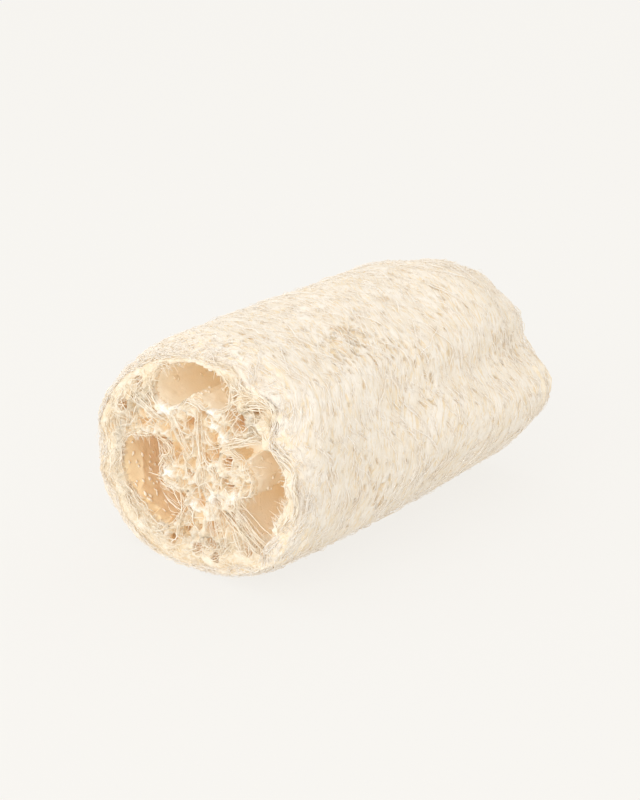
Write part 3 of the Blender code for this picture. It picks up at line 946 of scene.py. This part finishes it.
def hoop_fibres(count, lengths, slant, heights, thickness, draw, along_range=(0.0, 1.0)):
    """Fibres laid round the side. Returns a list of (points, radii)."""
    longest = int(lengths[1] / SIDE_STEP) + 1
    angle = np.empty((count, longest))
    along = np.empty((count, longest))
    angle[:, 0] = draw.uniform(0, math.tau, count)
    along[:, 0] = draw.uniform(*along_range, count)
    heading = draw.choice([-1.0, 1.0], count)
    own_slant = draw.normal(0, slant, count)
    curl_size = draw.uniform(0.05, 0.4, count)
    curl_length = draw.uniform(5 * MM, 12 * MM, count)
    curl_phase = draw.uniform(0, math.tau, count)
    for k in range(1, longest):
        lean = 0.16 * hoop_sway(angle[:, k - 1], along[:, k - 1]) + own_slant
        lean = lean + curl_size * np.sin(math.tau * k * SIDE_STEP / curl_length + curl_phase)
        angle[:, k] = angle[:, k - 1] + heading * SIDE_STEP * np.cos(lean) / mean_radius
        along[:, k] = along[:, k - 1] + SIDE_STEP * np.sin(lean) / mean_length
    along = parted(angle, np.clip(along, 0.0, 1.0))
    wave = draw.uniform(0, math.tau, (count, 1)) + np.arange(longest) * draw.uniform(1.2, 2.4, (count, 1))
    base = draw.uniform(*heights, (count, 1))
    number = np.maximum(3, (draw.uniform(*lengths, count) / SIDE_STEP).astype(int))
    from_end = np.minimum(np.arange(longest), (number[:, None] - 1) - np.arange(longest))
    dive = FIBRE_DIVE * np.clip(1 - from_end / 1.2, 0, 1) ** 2
    lift = base + FIBRE_WAVE * np.sin(wave) - dive
    points = on_side(angle.ravel(), along.ravel(), lift.ravel(), LOWEST_FIBRE).reshape(count, longest, 3)
    thick = FIBRE_RADIUS * draw.uniform(*thickness, (count, 1)) * np.clip(0.45 + from_end / 3, 0.45, 1)
    return [(points[f, :number[f]], thick[f, :number[f]]) for f in range(count)]


# Every fibre is given the same four-sided section, drawn on a curve that is taken away at the end
bpy.ops.curve.primitive_bezier_circle_add(radius=1, location=(0, 0, 0))
fibre_section = bpy.context.object
fibre_section.name = "fibre_section"
section_curve = fibre_section.data
section_curve.splines.clear()
section_outline = section_curve.splines.new("POLY")
section_outline.points.add(3)
for k in range(4):
    section_outline.points[k].co = (math.cos(k * math.tau / 4), math.sin(k * math.tau / 4), 0, 1)
section_outline.use_cyclic_u = True


def fibre_piece(name, runs, material):
    """One piece of many fibres: a curve with a spline for each, given a four-sided section."""
    curve = bpy.data.curves.new(name, "CURVE")
    curve.dimensions = "3D"
    curve.bevel_mode = "OBJECT"
    curve.bevel_object = fibre_section
    curve.use_fill_caps = True
    for points, radii in runs:
        spline = curve.splines.new("POLY")
        spline.points.add(len(points) - 1)
        spline.points.foreach_set("co", np.c_[points, np.ones(len(points))].ravel())
        spline.points.foreach_set("radius", np.ascontiguousarray(radii))
    piece = bpy.data.objects.new(name, curve)
    bpy.context.collection.objects.link(piece)
    choose(piece)
    bpy.ops.object.convert(target="MESH")
    piece = bpy.context.object
    weld(0.0001 * MM, turn_outward=True)
    bpy.ops.object.shade_smooth()
    piece.data.materials.clear()
    piece.data.materials.append(material)
    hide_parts("loofah")
    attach(piece, "root")
    return piece


# Unbleached loofah fibre: dry cellulose strands, nearly white where the light has bleached them and
# cream in patches, with hardly any sheen.
FIBRE_COLOURS = ((0.36, "F0E6D8"), (0.58, "F6F0E7"))
FIBRE_PATCH = 5 * MM
fibre_material = mottled("unbleached_loofah_fibre", FIBRE_COLOURS, FIBRE_PATCH, 0.8, 0)

# The hoops are laid in three stretches, with looser strands on top and a felt of short ones at both rims.
for stretch, along_range in enumerate(HOOP_STRETCHES, start=1):
    fibre_piece(f"hoop_net_{stretch}", hoop_fibres(*HOOPS, rng, along_range), fibre_material)
top_strands = hoop_fibres(*LOOSE_STRANDS, rng) + hoop_fibres(*STRAY_STRANDS, rng)
fibre_piece("top_strands", top_strands, fibre_material)
rim_felt = hoop_fibres(*SHOW_RIM_FELT, rng, SHOW_RIM) + hoop_fibres(*FAR_RIM_FELT, rng, FAR_RIM)
fibre_piece("rim_felt", rim_felt, fibre_material)

# The web on each cut: what is left of the fibres that ran through the gourd. Spokes and hoops of fibre
# cross the torn cells, branching strands run from knot to knot, and short broken ends reach over them.
WEB_STEP = 1.0 * MM
WEB_MOST_TIES = 4
# The knotted layers, from the top down: knot spacing, how many strands, their depths below the cut, and
# how thick they are as a share of the usual radius
WEB_LAYERS = (
    (4.4 * MM, 60, (0.0 * MM, 0.8 * MM), (0.5, 1.1)),
    (3.6 * MM, 60, (0.4 * MM, 1.4 * MM), (0.45, 1.0)),
    (4.0 * MM, 24, (1.2 * MM, 2.2 * MM), (0.45, 0.8)),
)
# The other strands, each kind with how many there are on the show cut. Its sizes begin with how long they
# are, or with how far in from the rim and between which angles they run, and end with how deep they lie
# below the cut and how thick they are.
SPOKES = 230
SPOKE_SIZES = ((3 * MM, 9 * MM), (0.0 * MM, 1.5 * MM), (0.35, 0.85))
RIM_STRANDS = 900
RIM_STRAND_SIZES = (8 * MM, (0, math.tau), (-0.05 * MM, 0.45 * MM), (0.35, 0.8))
LIP_STRANDS = 110
LIP_STRAND_SIZES = (1.6 * MM, (-0.9, 1.05), (-0.3 * MM, 0.3 * MM), (0.7, 1.2))
# The strands along the rim rise and sink in waves of this height, which start at any of these phases
RIM_WAVE = 0.3 * MM
RIM_WAVE_PHASES = (0, 6.28)
EDGE_STRANDS = 130
EDGE_STRAND_SIZES = ((4 * MM, 12 * MM), (0.1 * MM, 1.6 * MM), (0.5, 1.1))
# Broken ends: how long they are, how far from a channel they start, which way from it they turn, in
# radians, how much that strays, and how deep they lie
LOOSE_ENDS = 420
LOOSE_END_SIZES = ((1.0 * MM, 3.6 * MM), (0.4 * MM, 30 * MM), 0.0, 2.0, (0, 2.2 * MM))
FRINGE_SIZES = ((1.2 * MM, 4.4 * MM), (-0.2 * MM, 1.0 * MM), math.pi, 0.5, (0.2 * MM, 4.0 * MM))
FAR_CUT_SHARE = 0.5


def web_knots(side, spacing, given, draw):
    """Knots between hollows of about this spacing: their places and which knots each is tied to."""
    gap = fields[side]["gap"]
    sites = scattered(side, spacing, given, draw)
    flat = [Vector((x / MM, z / MM)) for x, z in sites]
    corners, _, triangles, *_rest = delaunay_2d_cdt(flat, [], [], 0, 1e-5)
    corners = np.array([tuple(corner) for corner in corners]) * MM
    triangles = [
        each for each in triangles
        if all(np.linalg.norm(corners[each[k]] - corners[each[k - 1]]) < 2.6 * spacing for k in range(3))
    ]
    knots = np.array([corners[list(triangle)].mean(0) for triangle in triangles])
    knots += draw.normal(0, 0.12 * spacing, knots.shape)
    in_wall = looked_up(gap, knots[:, 0], knots[:, 1]) > -0.75 * spacing
    slope_x, slope_z = fields[side]["down"]
    for _ in range(3):
        off = np.maximum(0.4 * MM - looked_up(gap, knots[:, 0], knots[:, 1]), 0)
        knots[:, 0] += off * looked_up(slope_x, knots[:, 0], knots[:, 1])
        knots[:, 1] += off * looked_up(slope_z, knots[:, 0], knots[:, 1])
    owner, ties = {}, [[] for _ in knots]
    for number, triangle in enumerate(triangles):
        for k in range(3):
            pair = frozenset((triangle[k], triangle[k - 1]))
            other = owner.setdefault(pair, number)
            if other != number and in_wall[other] and in_wall[number]:
                middle = (knots[other] + knots[number]) / 2
                if looked_up(gap, middle[:1], middle[1:])[0] > -0.3 * MM:
                    ties[other].append(number)
                    ties[number].append(other)
    return knots, ties


def smoothed(knots, step):
    """Points about this far apart on a smooth curve through the knots."""
    padded = np.vstack([2 * knots[0] - knots[1], knots, 2 * knots[-1] - knots[-2]])
    stretches = []
    for k in range(len(knots) - 1):
        a, b, c, d = padded[k:k + 4]
        t = np.linspace(0, 1, max(2, int(np.linalg.norm(c - b) / step) + 1), endpoint=False)[:, None]
        stretches.append(b + 0.5 * t * (c - a + t * (2 * a - 5 * b + 4 * c - d + t * (3 * (b - c) + d - a))))
    return np.vstack([*stretches, knots[-1:]])


def steps_from_end(number):
    """How many steps each point of a strand lies from its nearer end."""
    return np.minimum(np.arange(number), np.arange(number)[::-1])


def tapered(thickness, number):
    """Radii of a strand that thins at both ends."""
    return FIBRE_RADIUS * thickness * np.clip(0.4 + steps_from_end(number) / 4, 0.4, 1)


def laid_over(side, x, z, depth):
    """Points over a cut at these places, this deep below its even surface."""
    y = looked_up(cut_level[side], x, z) - side * depth
    return np.stack([x, y, np.maximum(z, LOWEST_FIBRE)], -1)


def web_strands(side, knots, ties, count, most_ties, depths, thickness, draw):
    """Strands that run on from knot to knot as straight as they can. Returns a list of (points, radii)."""
    tied = [k for k in range(len(knots)) if ties[k]]
    knot_depth = draw.uniform(*depths, len(knots))
    runs = []
    for _ in range(count):
        path = [int(draw.choice(tied))]
        path.append(int(draw.choice(ties[path[0]])))
        for _ in range(draw.integers(1, most_ties)):
            heading = knots[path[-1]] - knots[path[-2]]
            onward = [k for k in ties[path[-1]] if k not in path]
            if not onward:
                break
            turns = []
            for k in onward:
                way = knots[k] - knots[path[-1]]
                cosine = np.dot(way, heading) / (np.linalg.norm(way) * np.linalg.norm(heading) + 1e-9)
                turns.append(math.acos(max(-1.0, min(1.0, cosine))))
            if min(turns) > 1.1:
                break
            path.append(onward[int(np.argmin(np.array(turns) + draw.uniform(0, 0.3, len(turns))))])
        flat = knots[path] + draw.normal(0, 0.35 * MM, (len(path), 2))
        depth = knot_depth[path] + draw.normal(0, 0.3 * MM, len(path))
        depth[[0, -1]] += 0.6 * MM
        points = smoothed(laid_over(side, flat[:, 0], flat[:, 1], depth), WEB_STEP)
        runs.append((points, tapered(draw.uniform(*thickness), len(points))))
    return runs


def spokes(side, count, lengths, depths, thickness, draw):
    """Nearly straight strands over a cut, most of them spokes or hoops about the core."""
    gap, inside = fields[side]["gap"], fields[side]["inside"]
    runs = []
    while len(runs) < count:
        x, z = draw.uniform(cad_low.x, cad_high.x), draw.uniform(0, cad_high.z)
        bearing = math.atan2(z - core_height, x) + draw.choice([0.0, math.pi / 2], p=[0.62, 0.38])
        bearing += draw.normal(0, 0.35) if draw.random() < 0.75 else draw.uniform(-math.pi, math.pi)
        number = max(4, int(draw.uniform(*lengths) / WEB_STEP))
        bend = draw.normal(0, 0.035)
        way = bearing + bend * np.arange(number) + np.cumsum(draw.normal(0, 0.05, number))
        across, up = x + WEB_STEP * np.cumsum(np.cos(way)), z + WEB_STEP * np.cumsum(np.sin(way))
        free = (looked_up(gap, across, up) > 0.1 * MM) & (looked_up(inside, across, up) > 0.6 * MM)
        kept = int(np.argmin(free)) if not free.all() else number
        if kept < 4:
            continue
        across, up = across[:kept], up[:kept]
        depth = draw.uniform(*depths) + draw.normal(0, 0.06 * MM) * np.arange(kept)
        depth = depth + 1.0 * MM * np.clip(1 - steps_from_end(kept) / 2, 0, 1)
        runs.append((laid_over(side, across, up, depth), tapered(draw.uniform(*thickness), kept)))
    return runs


def channel_edges(side, count, lengths, depths, thickness, draw):
    """Strands that follow the mouths of the channels, just outside them."""
    gap, inside = fields[side]["gap"], fields[side]["inside"]
    slope_x, slope_z = fields[side]["down"]
    runs = []
    while len(runs) < count:
        x, z = draw.uniform(cad_low.x, cad_high.x), draw.uniform(0, cad_high.z)
        here = np.array([x]), np.array([z])
        away = looked_up(gap, *here)[0]
        if not 0.1 * MM < away < 1.6 * MM or looked_up(inside, *here)[0] < 1 * MM:
            continue
        level = draw.uniform(*depths)
        points = []
        for _ in range(int(draw.uniform(*lengths) / WEB_STEP)):
            here = np.array([x]), np.array([z])
            down_x, down_z = looked_up(slope_x, *here)[0], looked_up(slope_z, *here)[0]
            size = math.hypot(down_x, down_z) + 1e-9
            off = np.clip((away - looked_up(gap, *here)[0]) / MM, -0.6, 0.6)
            x += WEB_STEP * (-down_z + off * down_x) / size
            z += WEB_STEP * (down_x + off * down_z) / size
            away += draw.normal(0, 0.12 * MM)
            points.append((x, z, level + draw.normal(0, 0.12 * MM)))
        if len(points) > 3:
            across, up, depth = np.array(points).T
            depth[[0, -1]] += 0.8 * MM
            runs.append((laid_over(side, across, up, depth), tapered(draw.uniform(*thickness), len(points))))
    return runs


def broken_ends(side, count, lengths, at_gap, towards, spread, depths, draw, within=None):
    """Short broken fibre ends over a cut, which start this far from a channel and turn inwards."""
    gap, inside = fields[side]["gap"], fields[side]["inside"]
    slope_x, slope_z = fields[side]["down"]
    left, right, low, high = within or (-60, 60, 0, 90)
    runs = []
    while len(runs) < count:
        x, z = draw.uniform(left, right) * MM, draw.uniform(low, high) * MM
        here = np.array([x]), np.array([z])
        if looked_up(inside, *here)[0] < 1 * MM or not at_gap[0] < looked_up(gap, *here)[0] < at_gap[1]:
            continue
        away = math.atan2(looked_up(slope_z, *here)[0], looked_up(slope_x, *here)[0])
        number = max(3, int(draw.uniform(*lengths) / WEB_STEP) + 1)
        way = away + towards + draw.normal(0, spread) + draw.normal(0, 0.12) * np.arange(number)
        across = x + WEB_STEP * np.r_[0, np.cumsum(np.cos(way[1:]))]
        up = z + WEB_STEP * np.r_[0, np.cumsum(np.sin(way[1:]))]
        depth = draw.uniform(*depths) + draw.uniform(-0.2, 0.45) * WEB_STEP * np.arange(number)
        level = looked_up(cut_level[side], *here)[0]
        points = np.stack([across, level - side * depth, np.maximum(up, LOWEST_FIBRE)], -1)
        runs.append((points, FIBRE_RADIUS * draw.uniform(0.4, 0.95) * np.linspace(1, 0.3, number)))
    return runs


def rim_strands(side, count, band, angles, depths, thickness, draw):
    """Strands that run round a cut just inside its rim, between two angles."""
    row = 0 if side < 0 else PROFILE - 1
    gap = fields[side]["gap"]
    runs = []
    while len(runs) < count:
        number = int(draw.uniform(3 * MM, 10 * MM) / WEB_STEP)
        inside = band * draw.beta(1.0, 1.5) - 0.5 * MM
        lean = draw.normal(0, 0.45) + np.cumsum(draw.normal(0, 0.1, number))
        turn = np.cumsum(WEB_STEP * np.cos(lean) / mean_radius)
        angle = draw.uniform(*angles) + turn
        inside = np.maximum(inside + np.cumsum(WEB_STEP * np.sin(lean)), -0.7 * MM)
        radius = profile_r[(angle / math.tau * AROUND).astype(int) % AROUND, row] - inside
        across, up = radius * np.cos(angle), core_height + radius * np.sin(angle)
        if looked_up(gap, across, up).min() < 0.1 * MM:
            continue
        depth = draw.uniform(*depths)
        depth = depth + RIM_WAVE * np.sin(0.9 * np.arange(number) + draw.uniform(*RIM_WAVE_PHASES))
        depth = depth + 0.7 * MM * np.clip(1 - steps_from_end(number) / 2, 0, 1)
        runs.append((laid_over(side, across, up, depth), tapered(draw.uniform(*thickness), number)))
    return runs


# Sheaves of strands seen on the show cut, in millimetres: from (across, up) to (across, up), half spread
# at each end, how many strands, and between which depths. They make the pale arc and the shelf in the
# right channel, the fan below it, the tongue and the wedge in the left channel, and spokes of the core.
SHEAVES = (
    ((7.5, 42.5), (21.0, 48.0), 1.0, 0.8, 14, (0.0, 1.2)),
    ((4.0, 34.0), (18.0, 37.0), 2.8, 3.0, 18, (1.5, 5.0)),
    ((5.0, 29.5), (15.0, 35.0), 2.2, 2.8, 10, (1.0, 4.0)),
    ((6.0, 26.0), (25.0, 14.0), 4.6, 5.0, 22, (0.4, 2.8)),
    ((12.0, 24.0), (19.0, 12.0), 3.2, 5.2, 12, (0.6, 2.6)),
    ((-12.0, 30.5), (-16.5, 37.5), 1.6, 1.0, 14, (0.2, 2.0)),
    ((-8.0, 24.0), (-18.0, 23.8), 2.4, 0.6, 16, (0.2, 2.0)),
    ((-7.0, 17.0), (-15.0, 20.5), 2.2, 1.6, 8, (0.4, 1.8)),
    ((-0.5, 49.0), (1.0, 27.0), 2.0, 2.4, 6, (0.0, 1.0)),
    ((-12.0, 50.0), (-5.0, 37.0), 2.6, 2.6, 7, (0.0, 1.0)),
    ((3.0, 24.0), (7.0, 8.0), 3.8, 5.4, 10, (0.2, 1.2)),
    ((-4.0, 22.0), (-9.0, 10.0), 3.2, 4.6, 8, (0.2, 1.2)),
    ((7.0, 46.0), (14.0, 56.0), 2.6, 3.6, 8, (0.2, 1.2)),
    ((-15.0, 44.0), (-28.0, 50.0), 2.6, 4.6, 8, (0.2, 1.2)),
)
# Where broken ends hang into the channels of the show cut: left, right, bottom and top, and how many.
FRINGES = (
    ((-16.0, 8.0, 58.0, 68.0), 60), ((5.0, 16.0, 55.0, 66.0), 50), ((24.0, 33.0, 18.0, 46.0), 130),
    ((12.0, 30.0, 9.0, 24.0), 90), ((-34.0, -18.0, 36.0, 42.0), 24), ((6.0, 18.0, 20.0, 34.0), 40),
)


def sheaf(side, start, end, spread_start, spread_end, count, depths, draw):
    """A sheaf of nearly straight strands between two places on a cut."""
    start, end = np.array(start), np.array(end)
    along = (end - start) / np.linalg.norm(end - start)
    beside = np.array([-along[1], along[0]])
    runs = []
    for _ in range(count):
        shift = 0.7 * draw.uniform(-1, 1)
        first = start + beside * (shift * spread_start + draw.normal(0, 0.6)) + along * draw.normal(0, 1.6)
        last = end + beside * (shift * spread_end + draw.normal(0, 0.9)) + along * draw.normal(0, 2.2)
        number = max(4, int(np.linalg.norm(last - first) * MM / WEB_STEP))
        share = np.linspace(0, 1, number)[:, None]
        bow = beside * draw.normal(0, 0.8) * np.sin(math.pi * share)
        flat = (first + (last - first) * share + bow + draw.normal(0, 0.1, (number, 2))) * MM
        sink = 0.8 * MM * np.abs(2 * share[:, 0] - 1) ** 4
        depth = draw.uniform(*depths) * MM + sink
        points = laid_over(side, flat[:, 0], flat[:, 1], depth)
        runs.append((points, tapered(draw.uniform(0.35, 0.85), number)))
    return runs


# The fibres of the core were never in the sun, and dried a warm cream
WEB_COLOURS = ((0.36, "F3E6CF"), (0.58, "F8F0E1"))
web_material = mottled("pale_core_fibre", WEB_COLOURS, FIBRE_PATCH, 0.8, 0)
for side, web_name, share in ((-1, "show_cut_web", 1.0), (1, "far_cut_web", FAR_CUT_SHARE)):
    given = [hollow[:2] for hollow in HOLLOWS] if side < 0 else []
    web = []
    for spacing, strands, depths, thickness in WEB_LAYERS:
        knots, ties = web_knots(side, spacing, given, rng)
        web += web_strands(side, knots, ties, int(strands * share), WEB_MOST_TIES, depths, thickness, rng)
    web += spokes(side, int(SPOKES * share), *SPOKE_SIZES, rng)
    web += rim_strands(side, int(RIM_STRANDS * share), *RIM_STRAND_SIZES, rng)
    web += channel_edges(side, int(EDGE_STRANDS * share), *EDGE_STRAND_SIZES, rng)
    web += broken_ends(side, int(LOOSE_ENDS * share), *LOOSE_END_SIZES, rng)
    if side < 0:
        for one_sheaf in SHEAVES:
            web += sheaf(side, *one_sheaf, rng)
        for within, ends in FRINGES:
            web += broken_ends(side, ends, *FRINGE_SIZES, rng, within)
        web += rim_strands(side, LIP_STRANDS, *LIP_STRAND_SIZES, rng)
    fibre_piece(web_name, web, web_material)

# The walls of the seed channels bear rungs of short pale flecks, where fibres end on the smooth lining.
# The left channel has the most. Each fleck is a short thick fibre laid across the channel's run.
FLECK_LENGTH = (0.7 * MM, 1.9 * MM)
FLECK_THICKNESS = (1.6, 2.9)
# How high a fleck's middle lies off the wall, and how much lower its ends lie, in millimetres
FLECK_HEIGHT, FLECK_END_DROP = 0.3, 0.15
FLECK_ROWS = 2.1 * MM
FLECK_FROM = 3 * MM
FLECK_REACH = 46 * MM
FLECK_STRAY = 0.35 * MM
CHANNEL_REACH = 20 * MM
# The middle of each channel, in millimetres across and up, and how many flecks there are in a row
CHANNEL_FLECKS = (((-20.0, 24.5), 16), ((22.5, 31.0), 5), ((-3.0, 58.0), 3))

bpy.context.view_layer.update()
wall_trees = [bvh_of(mat) for mat in (pith, cut_mats[-1])]
flecks = []
for (across, up), in_row in CHANNEL_FLECKS:
    for number in range(int(FLECK_REACH / FLECK_ROWS)):
        for _ in range(in_row):
            y = cad_low.y + FLECK_FROM + FLECK_ROWS * number + rng.normal(0, FLECK_STRAY)
            bearing = rng.uniform(0, math.tau)
            out = Vector((math.cos(bearing), 0, math.sin(bearing)))
            start = Vector((across * MM, y, up * MM))
            hits = [tree.ray_cast(start, out, CHANNEL_REACH) for tree in wall_trees]
            hits = [hit for hit in hits if hit[0] is not None]
            if not hits:
                continue
            place, normal = min(hits, key=lambda hit: hit[3])[:2]
            if normal.dot(out) > 0:
                normal = -normal
            rung = normal.cross(Vector((0, 1, 0))).normalized() + Vector((0, rng.normal(0, 0.25), 0))
            half = rng.uniform(*FLECK_LENGTH) / 2
            middle, drop = place + normal * FLECK_HEIGHT * MM, normal * FLECK_END_DROP * MM
            points = [middle - rung * half - drop, middle, middle + rung * half - drop]
            radius = FIBRE_RADIUS * rng.uniform(*FLECK_THICKNESS)
            flecks.append((np.array([tuple(point) for point in points]), radius * np.array([0.5, 1.0, 0.5])))
fibre_piece("channel_flecks", flecks, web_material)

bpy.data.objects.remove(fibre_section)
